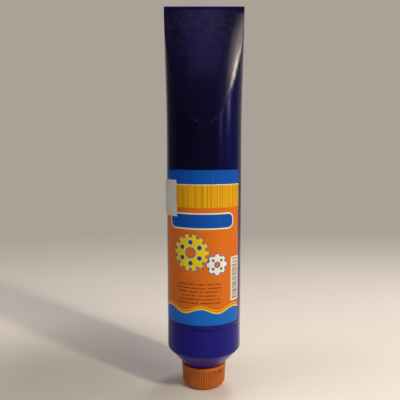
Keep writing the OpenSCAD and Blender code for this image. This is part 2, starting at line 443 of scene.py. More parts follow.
def finish(shader, height, depth, **inputs):
    """Plugs a shader's inputs, and gives it a bump from a height field with its depth in metres."""
    bump = add_node(height.tree, "ShaderNodeBump", Height=height, Distance=depth)
    plug_all(height.tree, shader, {"Normal": bump.outputs["Normal"], **inputs})


DUST_COLOUR = (0.5, 0.47, 0.42)


# Mesh helpers

def ease(t):
    """Even blend from 0 to 1 with level ends."""
    return t * t * (3 - 2 * t)


def steps(first, last, number):
    """Evenly spaced numbers from first to last."""
    return [first + (last - first) * i / number for i in range(number + 1)]


def circle(r, z, number):
    """A level ring of evenly spaced points."""
    angles = [math.tau * i / number for i in range(number)]
    return [(r * math.cos(a), r * math.sin(a), z) for a in angles]


def skin(rings, start_fan=None, end_fan=None):
    """Points and faces over a run of rings, with a fan to a point at each end that has one."""
    n = len(rings[0])
    points = [point for ring in rings for point in ring]
    faces = []
    for k in range(len(rings) - 1):
        low, high = k * n, (k + 1) * n
        faces += [(low + i, low + (i + 1) % n, high + (i + 1) % n, high + i) for i in range(n)]
    if start_fan is not None:
        points.append(start_fan)
        faces += [((i + 1) % n, i, len(points) - 1) for i in range(n)]
    if end_fan is not None:
        points.append(end_fan)
        last = (len(rings) - 1) * n
        faces += [(last + i, last + (i + 1) % n, len(points) - 1) for i in range(n)]
    return points, faces


def sheet_shell(inner, outer):
    """Points and faces of a thin closed sheet between two grids of points."""
    rows, columns = len(outer), len(outer[0])
    size = rows * columns
    points = [p for row in outer for p in row] + [p for row in inner for p in row]
    faces = []
    for r in range(rows - 1):
        for c in range(columns - 1):
            quad = [r * columns + c, r * columns + c + 1, (r + 1) * columns + c + 1, (r + 1) * columns + c]
            faces.append(quad)
            faces.append([size + i for i in reversed(quad)])
    border = list(range(columns))
    border += [r * columns + columns - 1 for r in range(1, rows)]
    border += [(rows - 1) * columns + c for c in range(columns - 2, -1, -1)]
    border += [r * columns for r in range(rows - 2, 0, -1)]
    for here, there in zip(border, border[1:] + border[:1]):
        faces.append([there, here, size + here, size + there])
    return points, faces


def add_object(name, data):
    """Puts a new object into the scene."""
    made = bpy.data.objects.new(name, data)
    bpy.context.scene.collection.objects.link(made)
    return made


def add_mesh(name, points, faces, material):
    """Puts a new mesh object with one material into the scene."""
    mesh = bpy.data.meshes.new(name)
    mesh.from_pydata(points, [], faces)
    mesh.materials.append(material)
    return add_object(name, mesh)


def make_piece(name, points, faces, material, body, node, sharp=40):
    """Makes a smooth mesh piece that rides on a body and stands for a CAD node."""
    piece = add_mesh(name, points, faces, material)
    piece.data.validate()
    piece.data.shade_smooth()
    piece.data.set_sharp_from_angle(angle=math.radians(sharp))
    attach(piece, body)
    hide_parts(node)
    return piece


def thread_height(thread, angle, height, turns):
    """Height of the thread ridge, from 0 to 1, at an angle and at a height above the ridge's start."""
    best = 0
    for whole in range(math.ceil(turns)):
        along = angle / math.tau + whole
        if 0 <= along <= turns:
            off = abs(height - thread.pitch * along)
            flank = (thread.root_w / 2 - off) / (thread.root_w / 2 - thread.crest_w / 2)
            fade = min(1, along / thread.lead, (turns - along) / thread.lead)
            best = max(best, min(1, flank) * max(0, fade))
    return max(0, best)


# Tube

SIDE_STEPS = 60
FACE_STEPS = 60
CORNER_STEPS = 4
FOLD_STEPS = 64
NECK_STEPS = 64
EDGE_STEPS = 10
CONE_STEPS = 12
BODY_STEPS = 24
EVEN_CREASE = math.radians(45)
FIRST_CREASE = math.radians(2.5)
CORNER_REACH = math.radians(1)
LEAST_STEP = 0.1 * MM
CREASE_MARK = "crease"
CREASE_FADES = (1 * MM, 20 * MM)
RIPPLE_MARGIN = 3 * MM
BROAD_RIPPLE = 45
FINE_RIPPLE = 110
EDGE_RISES = (0.6 * MM, 1.5 * MM)
SEAM_TURNS = (30, 60, 85)

# The fine line round the body: its share of the depth, and how many half widths up
LINE_PROFILE = ((0, -5), (0, -2), (1, -0.5), (1, 0.5), (0, 2), (0, 5))

# Where the colours of the plastic change, from the shoulder, the fold, the grease, the seam and the axis;
# the changes from the shoulder and across the axis are painted light
SHOULDER_FADE = 25 * MM
BODY_FADE = 30 * MM
FOLD_FADE = 15 * MM
STREAK_FADE = (10 * MM, 45 * MM)
LEVEL_FADE = 20 * MM
WELD_FADE = 0.7 * MM
SIDE_FADE = (3 * MM, 16 * MM)


def both_halves(half):
    """A half ring, and the same half turned round to the other side."""
    return half + [(-x, -y, z) for x, y, z in half]


def round_ring(r, z, crease=EVEN_CREASE, reach=CORNER_REACH):
    """A round ring whose points gather as those of a fold section with that crease."""
    angles = steps(crease - reach, crease + reach, CORNER_STEPS)
    angles += steps(crease + reach, math.pi - crease - reach, SIDE_STEPS)[1:-1]
    angles += steps(math.pi - crease - reach, math.pi - crease + reach, CORNER_STEPS)
    angles += [
        math.pi - (crease - reach) * math.cos(math.pi * i / FACE_STEPS) for i in range(1, FACE_STEPS)]
    return both_halves([(r * math.sin(a), -r * math.cos(a), z) for a in angles])


def fold_ring(tube, inset, half_t, z):
    """A section of the fold: two round sides, two swollen faces, and a small rounding at each crease."""
    r = tube.body_r - inset
    fold_len = tube.seam_z - tube.fold_z
    t = min((z - tube.fold_z) / fold_len, 1)
    half_w = r + (tube.seam_half_w - tube.body_r) * ease(t)
    crease = math.acos(max(1 - t, half_t / r))
    face_w = half_w * math.sin(crease)
    face_y = r * math.cos(crease)
    middle = r * (1 - t) + half_t * t + tube.fold_swell * 4 * t * (1 - t)
    swell = max(middle - face_y, tube.seam_crown)

    def side(a):
        return Vector((half_w * math.sin(a), -r * math.cos(a), z))

    def face(u):
        return Vector((face_w * u, face_y + swell * (1 - abs(u) ** tube.face_power), z))

    def rounded(start, corner, end):
        return [start.lerp(corner, s).lerp(corner.lerp(end, s), s) for s in steps(0, 1, CORNER_STEPS)]

    reach = min(tube.crease_round, face_w * 0.3, half_t * 0.6 if t == 1 else face_w)
    edge = 1 - reach / face_w
    turned = min(reach / r, (math.pi / 2 - crease) * 0.6)
    back = rounded(side(math.pi - crease - turned), side(math.pi - crease), face(edge))
    front = [Vector((p.x, -p.y, p.z)) for p in reversed(back)]
    around = [side(a) for a in steps(crease + turned, math.pi - crease - turned, SIDE_STEPS)[1:-1]]
    across = [face(edge * math.cos(math.pi * i / FACE_STEPS)) for i in range(1, FACE_STEPS)]
    return both_halves([tuple(p) for p in front + around + back + across])


def fold_heights(tube, limit):
    """Heights of the fold's sections up to a limit, closer together where the creases are level."""
    fold_len = tube.seam_z - tube.fold_z
    heights = [tube.seam_z - fold_len * math.cos(a) for a in steps(FIRST_CREASE, math.pi / 2, FOLD_STEPS)]
    return [z for z in heights if z < limit - LEAST_STEP] + [limit]


def round_body(r, low, high):
    """Round rings up the body, whose points gather towards the foot of the creases."""
    rings = []
    for k, z in enumerate(steps(low, high, BODY_STEPS)):
        crease = EVEN_CREASE + (FIRST_CREASE - EVEN_CREASE) * k / BODY_STEPS
        rings.append(round_ring(r, z, crease, min(CORNER_REACH, crease * 0.4)))
    return rings


def hollow_rings(tube, gap, limit):
    """Sections of the hollow, drawn in by gap, from the mouth up to a limit."""
    side_r = tube.body_r - tube.wall - gap
    mouth_r = tube.mouth_r - gap
    floor_z = tube.shoulder_z + tube.wall + gap
    slope = math.tan(tube.shoulder_angle)
    slant = (tube.wall + gap) / math.cos(tube.shoulder_angle)
    foot_r = tube.shoulder_r + (floor_z - tube.shoulder_z - slant) / slope
    side_z = tube.shoulder_z + (side_r - tube.shoulder_r) * slope + slant
    neck = ((mouth_r, tube.lip_z + gap), (mouth_r, floor_z), (foot_r, floor_z))
    rings = [round_ring(r, z) for r, z in neck]
    rings += round_body(side_r, side_z, tube.fold_z)
    rings += [fold_ring(tube, tube.wall + gap, tube.slit, z) for z in fold_heights(tube, limit)]
    return rings


def neck_rings(tube, thread):
    """Rings up the outside of the neck, with the ridge of the thread."""
    start_z = tube.lip_z + thread.start
    low = tube.lip_z + tube.lip_bevel
    high = start_z + thread.pitch * thread.neck_turns + thread.root_w
    rings = [
        round_ring(tube.mouth_r + tube.lip_bevel / 2, tube.lip_z),
        round_ring(tube.neck_r - tube.lip_bevel, tube.lip_z)]
    for z in steps(low, high, NECK_STEPS):
        ring = []
        for x, y, _ in round_ring(1, z):
            angle = math.atan2(y, x) % math.tau
            r = tube.neck_r + thread.depth * thread_height(thread, angle, z - start_z, thread.neck_turns)
            ring.append((r * x, r * y, z))
        rings.append(ring)
    return rings + [round_ring(tube.neck_r, tube.shoulder_z)]


def shoulder_edge(tube):
    """Height where the cone of the shoulder would meet the body, without its round edge."""
    return tube.shoulder_z + (tube.body_r - tube.shoulder_r) * math.tan(tube.shoulder_angle)


def shoulder_rings(tube):
    """Rings of the cone and of its rounded edge into the body."""
    slope = math.tan(tube.shoulder_angle)
    edge_r = tube.shoulder_round
    centre_r = tube.body_r - edge_r
    centre_z = shoulder_edge(tube) + edge_r * math.tan((math.pi / 2 - tube.shoulder_angle) / 2)
    arc = [
        (centre_r + edge_r * math.cos(a), centre_z + edge_r * math.sin(a))
        for a in steps(tube.shoulder_angle - math.pi / 2, 0, EDGE_STEPS)]
    cone = [
        (r, tube.shoulder_z + (r - tube.shoulder_r) * slope)
        for r in steps(tube.shoulder_r, arc[0][0], CONE_STEPS)]
    above = [(tube.body_r, arc[-1][1] + rise) for rise in EDGE_RISES]
    return [round_ring(r, z) for r, z in cone[:-1] + arc + above]


def line_rings(tube, label):
    """Rings of the fine line round the body below the label."""
    z = label.low_z - tube.line_drop
    half_w = 2 * tube.line_depth
    return [
        round_ring(tube.body_r - sunk * tube.line_depth, z + off * half_w)
        for sunk, off in LINE_PROFILE]


def seam_rings(tube):
    """Rings of the welded seam with its softened upper edge."""
    soft = 0.5 * tube.seam_half_t
    rings = [fold_ring(tube, 0, tube.seam_half_t, tube.top_z - soft)]
    for a in (math.radians(degrees) for degrees in SEAM_TURNS):
        out = soft * (1 - math.cos(a))
        up = soft * (1 - math.sin(a))
        rings.append(fold_ring(tube, out, tube.seam_half_t - out, tube.top_z - up))
    return rings


def mirrored_fill(ring_start, n):
    """Faces that close a flat ring by joining each point to the one across from it."""
    half = n // 2
    corner = CORNER_STEPS + 1
    side_end = 2 * corner + SIDE_STEPS - 1
    faces = []
    across = {}
    for i in range(side_end):
        across[i] = side_end - 1 - i
        across[i + half] = side_end - 1 - i + half
    for j in range(side_end, half):
        across[j] = half + side_end + (half - 1 - j)
        across[across[j]] = j
    done = set()
    for i in range(n):
        k = (i + 1) % n
        quad = [i, k, across[k], across[i]]
        key = frozenset(quad)
        if len(key) > 2 and key not in done:
            done.add(key)
            kept = [p for spot, p in enumerate(quad) if p not in quad[:spot]]
            faces.append([ring_start + p for p in kept])
    return faces


def mark_creases(piece, tube, first, n):
    """Stores how close each point of the fold's outside is to a crease, from 0 to 1."""
    mark = piece.data.attributes.new(CREASE_MARK, "FLOAT", "POINT")
    half = n // 2
    middles = (CORNER_STEPS // 2, 3 * CORNER_STEPS // 2 + SIDE_STEPS)
    for vertex in piece.data.vertices:
        z = vertex.co.z
        if vertex.index >= first and tube.fold_z < z < tube.seam_z:
            off = min(abs(vertex.index % half - middle) for middle in middles)
            ends = min((z - tube.fold_z) / CREASE_FADES[0], (tube.seam_z - z) / CREASE_FADES[1], 1)
            mark.data[vertex.index].value = max(1 - off / 2, 0) * ends


def closed_skin(rings):
    """Points and faces over a run of tube sections, with both ends closed."""
    points, faces = skin(rings)
    n = len(rings[0])
    faces += mirrored_fill(len(points) - n, n)
    faces += [face[::-1] for face in mirrored_fill(0, n)]
    return points, faces


def make_tube(settings):
    """The tube: threaded neck, cone, body and the flattened end with its seam, as a hollow shell."""
    tube = settings.tube
    hollow = hollow_rings(tube, 0, tube.seam_z - tube.slit_drop)
    outside = neck_rings(tube, settings.thread) + shoulder_rings(tube) + line_rings(tube, settings.label)
    outside += round_body(tube.body_r, settings.label.low_z - tube.line_drop / 2, tube.fold_z)
    outside += [fold_ring(tube, 0, tube.seam_half_t, z) for z in fold_heights(tube, tube.seam_z)]
    outside += seam_rings(tube)
    points, faces = closed_skin(hollow[::-1] + outside)
    material = tube_plastic(settings)
    piece = make_piece(
        "tube_moulding", points, faces, material, "tube", "tube_body", sharp=32)
    n = len(outside[0])
    mark_creases(piece, tube, len(hollow) * n, n)
    add_ripple(piece, settings, len(hollow) * n)


def add_ripple(piece, settings, first):
    """Sinks the outside a little here and there, clear of the label, the shoulder and the seam."""
    tube, label = settings.tube, settings.label
    low = shoulder_edge(tube) + RIPPLE_MARGIN
    mesh = piece.data
    normals = [vertex.normal.copy() for vertex in mesh.vertices]
    for vertex, normal in zip(mesh.vertices, normals):
        z = vertex.co.z
        if vertex.index < first or z < low:
            continue
        clear = min(max(label.low_z - z, z - label.high_z), z - low) / RIPPLE_MARGIN
        below = (tube.top_z - z) / (4 * RIPPLE_MARGIN)
        weight = ease(min(max(clear, 0), 1)) * ease(min(max(below, 0), 1))
        waves = noise.noise(vertex.co * BROAD_RIPPLE) + 0.5 * noise.noise(vertex.co * FINE_RIPPLE)
        vertex.co -= normal * tube.ripple * weight * min(max(0.5 + 0.5 * waves, 0), 1)


def tube_plastic(settings):
    """Glossy indigo polyethylene, painted brighter towards the shoulder for floor light glowing up through
    it and lighter on the lit right side, with drawn streaks painted lighter for their sheen, creases with
    wear and a painted highlight, scuffs and a bluer weld line.
    """
    tube = settings.tube
    material, tree, shader = new_material("Indigo tube plastic")
    height, blotch = place_group(tree, moulded_grain(), Scale=1900.0, Blotch_Scale=45.0)
    scuffs, = place_group(tree, handling_scuffs(), Amount=0.3, Fineness=1400.0)
    dust, = place_group(tree, settled_dust(), Amount=0.25)
    x, _, z = axes(tree, surface_place(tree))
    drawn = grain(tree, 1500.0, 2.0, (1, 0.2, 0.012))
    on_fold = z.rise(tube.fold_z, tube.fold_z + FOLD_FADE).spread(0.45, 1.0)
    # Drawn lines above the fold's foot, painted lighter as a stand-in for the sheen they catch.
    streaks = drawn.rise(0.52, 0.75) * z.rise(*(tube.fold_z + above for above in STREAK_FADE))
    line_z = settings.label.low_z - tube.line_drop
    line = z.between(line_z - 2 * tube.line_depth, line_z + 2 * tube.line_depth, tube.line_depth)
    crease = tree.nodes.new("ShaderNodeAttribute")
    crease.attribute_name = CREASE_MARK
    # Crease mask: wear, and a painted highlight along the creases.
    wear_and_glint = Field(tree, crease.outputs["Fac"]) * grain(tree, 400.0, 3.0).rise(0.2, 0.7)
    # Upper wall: painted darker on the left and lighter on the lit right side.
    dark = x.rise(*SIDE_FADE).mix(tube.shaded_wall, tube.thin)
    base = paint(
        tube.plastic,
        # Painted light: brighter at the shoulder for floor light glowing through the plastic, darker up the
        # body.
        (z.rise(tube.shoulder_z + SHOULDER_FADE, tube.fold_z - BODY_FADE), dark),
        (z.rise(tube.fold_z, tube.fill_z + LEVEL_FADE), tube.empty),
        # Painted sheen on the drawn lines.
        (streaks * 0.5, tone(tube.empty, 4)),
        (z.rise(tube.seam_z, tube.seam_z + WELD_FADE), tube.weld),
        (line * 0.75, tone(tube.plastic, 0.2)),
        (blotch * 0.3, tube.blotch),
        # Crease wear with a painted highlight.
        (wear_and_glint * 0.2, tube.wear_and_glint),
        (scuffs * 0.25, tube.scuff),
        (dust * 0.5, DUST_COLOUR))
    rough = blotch.spread(0.14, 0.19) + on_fold * drawn.spread(0.0, 0.09)
    finish(
        shader, height * 0.3 + drawn * on_fold * 1.4 + scuffs.flip() * 0.25, 0.02 * MM,
        Base_Color=base, Roughness=rough + wear_and_glint * 0.2 + scuffs * 0.2 + dust * 0.3,
        Specular_IOR_Level=0.22, Specular_Tint=(0.85, 0.78, 1))
    return material


def make_grease(settings):
    """The grease that fills the tube from the mouth up, into the fold."""
    tube = settings.tube
    points, faces = closed_skin(hollow_rings(tube, tube.fill_gap, tube.fill_z))
    make_piece("grease_charge", points, faces, grease_paste(tube), "tube", "grease_fill")


def grease_paste(tube):
    """Dark grease with fine swirls and a wet sheen."""
    material, tree, shader = new_material("Dark grease")
    height, blotch = place_group(tree, moulded_grain(), Scale=350.0, Blotch_Scale=120.0)
    swirl = grain(tree, 180.0, 5.0, (1, 1, 0.3))
    finish(
        shader, height + swirl, 0.15 * MM,
        Base_Color=swirl.mottle(tube.grease, 0.6, 1.5), Roughness=blotch.spread(0.25, 0.5))
    return material


# Cap and liner

RIB_STEPS = 10
CAP_EDGE_STEPS = 6
BORE_STEPS = 48
LINER_STEPS = 144

# The fading feet of the ribs: their share of the height, and how far up
RIB_FEET = ((0.6, 0.12 * MM), (0.9, 0.3 * MM), (1, 0.55 * MM))
RIB_FULL = 1.2 * MM

# The thumb mark: its place to the right and below the rim, its radius, its shape and its wobble
THUMB_ASIDE = 10.4 * MM
THUMB_DROP = 3.2 * MM
THUMB_R = 0.75 * MM
THUMB_SHAPE = 0.55
THUMB_WOBBLE = 0.9 * MM


def make_cap(settings):
    """The ribbed screw cap with its smooth rim band, bore and inner thread."""
    cap, thread, tube = settings.cap, settings.thread, settings.tube
    n = cap.rib_count * RIB_STEPS
    angles = [math.tau * i / n for i in range(n)]
    root_foot = cap.rim_r - cap.taper - cap.rib_h
    rib_r = cap.rib_w / 2
    pitch = math.tau * cap.rim_r / cap.rib_count

    def rib(i):
        off = ((i % RIB_STEPS) / RIB_STEPS - 0.5) * pitch
        inside = max(rib_r * rib_r - off * off, 0)
        return max(math.sqrt(inside) - (rib_r - cap.rib_h), 0)

    def ring(r, z, ribbed=0.0):
        return [((r + ribbed * rib(i)) * math.cos(a), (r + ribbed * rib(i)) * math.sin(a), z)
                for i, a in enumerate(angles)]

    def root_r(z):
        return root_foot + cap.taper * z / cap.height

    band_z = cap.height - cap.rim_band
    rings = [ring(root_foot * 0.5, 0)]
    for a in steps(-math.pi / 2, 0, CAP_EDGE_STEPS):
        inset = cap.edge_round * (1 - math.cos(a))
        rings.append(ring(root_foot - inset, cap.edge_round * (1 + math.sin(a))))
    for ribbed, rise in RIB_FEET:
        rings.append(ring(root_r(cap.rib_foot), cap.rib_foot + rise, ribbed))
    rings += [ring(root_r(z), z, 1) for z in steps(cap.rib_foot + RIB_FULL, band_z - cap.rib_h, 4)]
    rings.append(ring(cap.rim_r - cap.rib_h / 2, band_z - cap.rib_h / 3, 0.5))
    rings += [ring(cap.rim_r, band_z), ring(cap.rim_r, cap.height - cap.rim_bevel)]
    rings += [ring(cap.rim_r - 0.3 * cap.rim_bevel, cap.height - 0.3 * cap.rim_bevel)]
    rings += [ring(cap.rim_r - cap.rim_bevel, cap.height), ring(cap.bore_r + cap.rim_bevel, cap.height)]
    rings.append(ring(cap.bore_r, cap.height - cap.rim_bevel))
    start_z = tube.lip_z + thread.start + thread.pitch / 2
    low = start_z - thread.root_w
    high = min(start_z + thread.pitch * thread.cap_turns + thread.root_w, cap.height - 2 * cap.rim_bevel)
    for z in steps(high, low, BORE_STEPS):
        row = []
        for a in angles:
            r = cap.bore_r - thread.depth * thread_height(thread, a, z - start_z, thread.cap_turns)
            row.append((r * math.cos(a), r * math.sin(a), z))
        rings.append(row)
    rings.append(ring(cap.bore_r, cap.floor_z))
    points, faces = skin(rings, start_fan=(0, 0, 0), end_fan=(0, 0, cap.floor_z))
    make_piece("ribbed_cap", points, faces, cap_plastic(cap), "cap", "screw_cap", sharp=50)


def cap_plastic(cap):
    """Satin orange plastic with painted shade between the ribs and a painted highlight on their crests,
    both weaker towards the foot, and a greasy thumb mark near the rim.
    """
    material, tree, shader = new_material("Orange cap plastic")
    height, blotch = place_group(tree, moulded_grain(), Scale=2600.0, Blotch_Scale=130.0)
    scuffs, = place_group(tree, handling_scuffs(), Amount=0.6, Fineness=1300.0)
    dust, = place_group(tree, settled_dust(), Amount=0.3)
    x, y, z = axes(tree, surface_place(tree))
    depth = z / cap.height * cap.taper + (cap.rim_r - cap.taper) - span(x, y)
    # Ribbed zone for the painted shade and highlight, weaker towards the foot.
    ribbed = z.between(cap.rib_foot, cap.height - cap.rim_band, 0.3 * MM)
    ribbed = ribbed * z.rise(cap.rib_foot, cap.height).spread(0.45, 1.0)
    rib_valley_shade = depth.between(0.6 * cap.rib_h, 3 * cap.rib_h, 0.3 * cap.rib_h) * ribbed
    crest = depth.under(0.4 * cap.rib_h, 0.3 * cap.rib_h) * ribbed
    mark = span(x - THUMB_ASIDE, (z - (cap.height - THUMB_DROP)) * THUMB_SHAPE)
    wobble = grain(tree, 1400.0, 3.0).spread(-THUMB_WOBBLE, THUMB_WOBBLE)
    smudge = (mark + wobble).under(THUMB_R, 0.6 * THUMB_R) * y.under(0, 1 * MM)
    base = paint(
        blotch.mottle(cap.plastic, 0.88, 1.12),
        # Painted shade between the ribs and painted highlight on their crests.
        (rib_valley_shade * 0.85, tone(cap.plastic, 0.33)),
        (crest * 0.35, cap.crest),
        (scuffs * 0.35, cap.scuff),
        (smudge * 0.85, cap.smudge),
        (dust * 0.5, DUST_COLOUR))
    finish(
        shader, height * 0.5 + scuffs.flip() * 0.4, 0.02 * MM,
        Base_Color=base, Roughness=blotch.spread(0.38, 0.52) + scuffs * 0.15 + dust * 0.2,
        Specular_IOR_Level=0.3, Subsurface_Weight=0.12, Subsurface_Radius=(1.2, 0.5, 0.2),
        Subsurface_Scale=1 * MM)
    return material


def make_liner(settings):
    """The sealing disc in the cap, with the ring that the lip has pressed into it."""
    cap, tube = settings.cap, settings.tube
    bevel = 0.15 * MM
    low, high = cap.floor_z, cap.liner_top
    pressed = high - cap.lip_mark
    outline = [
        (cap.liner_r - bevel, low), (cap.liner_r, low + bevel), (cap.liner_r, high - bevel),
        (cap.liner_r - bevel, high), (tube.neck_r + bevel, high), (tube.neck_r, pressed),
        (tube.mouth_r, pressed), (tube.mouth_r - bevel, high)]
    rings = [circle(r, z, LINER_STEPS) for r, z in outline]
    points, faces = skin(rings, start_fan=(0, 0, low), end_fan=(0, 0, high))
    make_piece("sealing_liner", points, faces, liner_foam(cap), "liner", "cap_liner")


def liner_foam(cap):
    """Pale closed-cell foam with fine pores and a faint stain."""
    material, tree, shader = new_material("Liner foam")
    height, blotch = place_group(tree, moulded_grain(), Scale=1800.0, Blotch_Scale=200.0)
    pores = add_node(tree, "ShaderNodeTexVoronoi", Vector=surface_place(tree), Scale=2400.0)
    cells = Field(tree, pores.outputs["Distance"])
    stained = blotch.rise(0.4, 0.75).mix(cap.liner, tone(cap.liner, 0.72))
    finish(
        shader, cells + height * 0.3, 0.05 * MM,
        Base_Color=cells.mix(tone(cap.liner, 0.8), stained), Roughness=cells.spread(0.6, 0.85))
    return material


# Label and sticker

LABEL_COLUMNS = 96
LABEL_ROWS = 60
CORNER_ROWS = 8
STICKER_COLUMNS = 24
NOTCH_ROWS = 24
PLAIN_ROWS = 12
FREE_FROM = 2 * MM
PRINT_MAP = "print"


def on_body(r, along, z, middle, body_r):
    """A point at a distance along the body's curve from a middle turn, and its height."""
    a = middle + along / body_r
    return (r * math.sin(a), -r * math.cos(a), z)


def make_sheet(name, rows, wrap, thickness, material, node):
    """Makes a thin sheet on the tube from rows of places on its flat print, which it keeps as a map."""
    outer = [[wrap(u, v, thickness) for u, v in row] for row in rows]
    inner = [[wrap(u, v, 0) for u, v in row] for row in rows]
    points, faces = sheet_shell(inner, outer)
    piece = make_piece(name, points, faces, material, "tube", node)
    layer = piece.data.uv_layers.new(name=PRINT_MAP)
    places = [(u / MM, v / MM) for row in rows for u, v in row] * 2
    for loop in piece.data.loops:
        layer.data[loop.index].uv = places[loop.vertex_index]


def make_label(settings):
    """The front label: a thin film with round corners."""
    label = settings.label
    half_w = label.arc * label.inner_r / 2
    tall = label.high_z - label.low_z

    def row(v):
        drop = max(label.corner - min(v, tall - v), 0)
        reach = half_w - label.corner + math.sqrt(max(label.corner ** 2 - drop ** 2, 0))
        return [(reach * c, v) for c in steps(-1, 1, LABEL_COLUMNS)]

    def wrap(u, v, depth):
        return on_body(label.inner_r + depth, u, label.low_z + v, label.middle, label.inner_r)

    arcs = [label.corner * (1 - math.cos(a)) for a in steps(0, math.pi / 2, CORNER_ROWS)]
    plain = steps(label.corner, tall - label.corner, LABEL_ROWS)[1:-1]
    rows = [row(v) for v in arcs + plain + [tall - d for d in arcs[::-1]]]
    make_sheet("label_film", rows, wrap, label.thickness, label_print(label), "front_label")


# The flat print, in millimetres from the label's lower edge and from its middle line
BLUE_TOP = 87.0
AMBER_FOOT = 73.2
LINE_W = 0.4
EDGE_SOFT = 0.06
WAVE_Z = 8.6
WAVE_H = 1.5
WAVE_PITCH = 22.0
WAVE_LINE = 1.0
WAVE_RULE = (1.9, 2.3)
PLATE_Z = 65.0
PLATE_HALF = (21.5, 4.2)
PLATE_ROUND = 3.6
PLATE_EDGE = 0.8
RULES_U = -1.5
RULES_Z = 13.0
RULES_PITCH = 2.35
RULES_ROWS = 6
RULE_HALF = 0.45
RULE_REACH = (9.0, 19.0)
CODE_MIDDLE = (24.05, 28.0)
CODE_HALF = (3.85, 14.0)
CODE_ROUND = 0.4
CODE_MARGIN = 1.0
COG_EDGE = 0.6

# Middle, radius, teeth, holes and ink of each cog
COGS = (
    ((-6.5, 45.6), 11.5, 14, 6, "yellow"),
    ((10.2, 38.2), 6.6, 8, 4, "white"),
)

# Proportions of a cog
TOOTH_SHARE = 0.17
TOOTH_SOFT = 0.35
BORE_SHARE = 0.3
HOLE_SHARE = 0.24

# The sticker's print, in millimetres
RIM_W = 0.7
SMEAR_RISE = (3.0, 20.0)
SMEAR_SOFT = 2.0


def print_place(tree):
    """The place on the flat print, in millimetres, as two fields."""
    chart = tree.nodes.new("ShaderNodeUVMap")
    chart.uv_map = PRINT_MAP
    return axes(tree, chart.outputs["UV"])[:2]


def rounded_box(u, v, middle, half, corner):
    """Signed distance to a box with round corners: below 0 inside it."""
    du = (u - middle[0]).calc("ABSOLUTE") - (half[0] - corner)
    dv = (v - middle[1]).calc("ABSOLUTE") - (half[1] - corner)
    outside = span(du.calc("MAXIMUM", 0.0), dv.calc("MAXIMUM", 0.0))
    return outside + du.calc("MAXIMUM", dv).calc("MINIMUM", 0.0) - corner


def cog(u, v, middle, outer, teeth, holes):
    """A cog wheel as two masks: the wheel with a wider outline, and the wheel itself."""
    tooth_h, bore = outer * TOOTH_SHARE, outer * BORE_SHARE
    du, dv = u - middle[0], v - middle[1]
    out = span(du, dv)
    angle = dv.calc("ARCTAN2", du)
    tooth = (angle * teeth).calc("COSINE").rise(-TOOTH_SOFT, TOOTH_SOFT)
    beyond = out - (tooth * tooth_h + (outer - tooth_h))
    wide = beyond.under(COG_EDGE, EDGE_SOFT) * out.over(bore - COG_EDGE, EDGE_SOFT)
    sector = math.tau / holes
    local = (angle / sector).calc("FRACT") * sector - sector / 2
    across = out * local.calc("COSINE") - (outer - tooth_h + bore) / 2
    hole = span(across, out * local.calc("SINE"))
    hole_r = (outer - tooth_h - bore) * HOLE_SHARE
    wheel = beyond.under(0, EDGE_SOFT) * out.over(bore, EDGE_SOFT) * hole.over(hole_r, EDGE_SOFT)
    return wide, wheel


def label_print(label):
    """Printed film: blue, striped amber and orange bands, a pair of cogs, plain rules and bars."""
    material, tree, shader = new_material("Printed label film")
    u, v = print_place(tree)
    height, blotch = place_group(tree, moulded_grain(), Scale=3200.0, Blotch_Scale=70.0)
    scuffs, = place_group(tree, handling_scuffs(), Amount=0.35, Fineness=1800.0)
    dust, = place_group(tree, settled_dust(), Amount=0.2)

    band = u.noise(1.15).rise(0.5, 0.58).mix(label.amber, label.stripe)
    wave = v - (u * (math.tau / WAVE_PITCH)).calc("COSINE") * WAVE_H - WAVE_Z
    plate = rounded_box(u, v, (0, PLATE_Z), PLATE_HALF, PLATE_ROUND)
    ink = paint(
        blotch.mottle(label.orange, 0.93, 1.06),
        (v.between(AMBER_FOOT, BLUE_TOP, EDGE_SOFT), band),
        (v.over(BLUE_TOP, EDGE_SOFT), label.blue),
        (v.between(BLUE_TOP, BLUE_TOP + LINE_W, EDGE_SOFT), label.white),
        (wave.under(0, EDGE_SOFT), label.azure),
        (wave.between(0, WAVE_LINE, EDGE_SOFT), label.yellow),
        (wave.between(*WAVE_RULE, EDGE_SOFT), label.yellow),
        (plate.under(PLATE_EDGE, EDGE_SOFT), label.white),
        (plate.under(0, EDGE_SOFT), label.blue))

    for middle, outer, teeth, holes, face in COGS:
        wide, wheel = cog(u, v, middle, outer, teeth, holes)
        ink = paint(ink, (wide, label.blue), (wheel, getattr(label, face)))

    row = (v - RULES_Z) / RULES_PITCH
    index = row.calc("FLOOR")
    in_row = ((row - index - 0.5).calc("ABSOLUTE") * RULES_PITCH).under(RULE_HALF, EDGE_SOFT)
    # Each row reads another stretch of the noise
    reach = (index * 7.3).noise(1.0).spread(*RULE_REACH)
    words = (u + index * 53.0).noise(0.42).rise(0.36, 0.4)
    strokes = (u + index * 31.0).noise(2.6).rise(0.4, 0.46)
    rules = in_row * index.between(-0.5, RULES_ROWS - 0.5, 0.1)
    rules = rules * (u - RULES_U).calc("ABSOLUTE").under(reach, EDGE_SOFT) * words * strokes
    panel = rounded_box(u, v, CODE_MIDDLE, CODE_HALF, CODE_ROUND)
    bars = v.noise(1.9).rise(0.49, 0.53) * panel.under(-CODE_MARGIN, EDGE_SOFT)
    ink = paint(
        ink,
        (rules * 0.85, label.maroon),
        (panel.under(0, EDGE_SOFT), label.white),
        (bars, label.black),
        (scuffs * 0.2, label.white),
        (dust * 0.5, DUST_COLOUR))
    finish(
        shader, height * 0.5 + scuffs.flip() * 0.3, 0.015 * MM,
        Base_Color=ink, Roughness=blotch.spread(0.28, 0.38) + scuffs * 0.25 + dust * 0.2,
        Specular_IOR_Level=0.14)
    return material


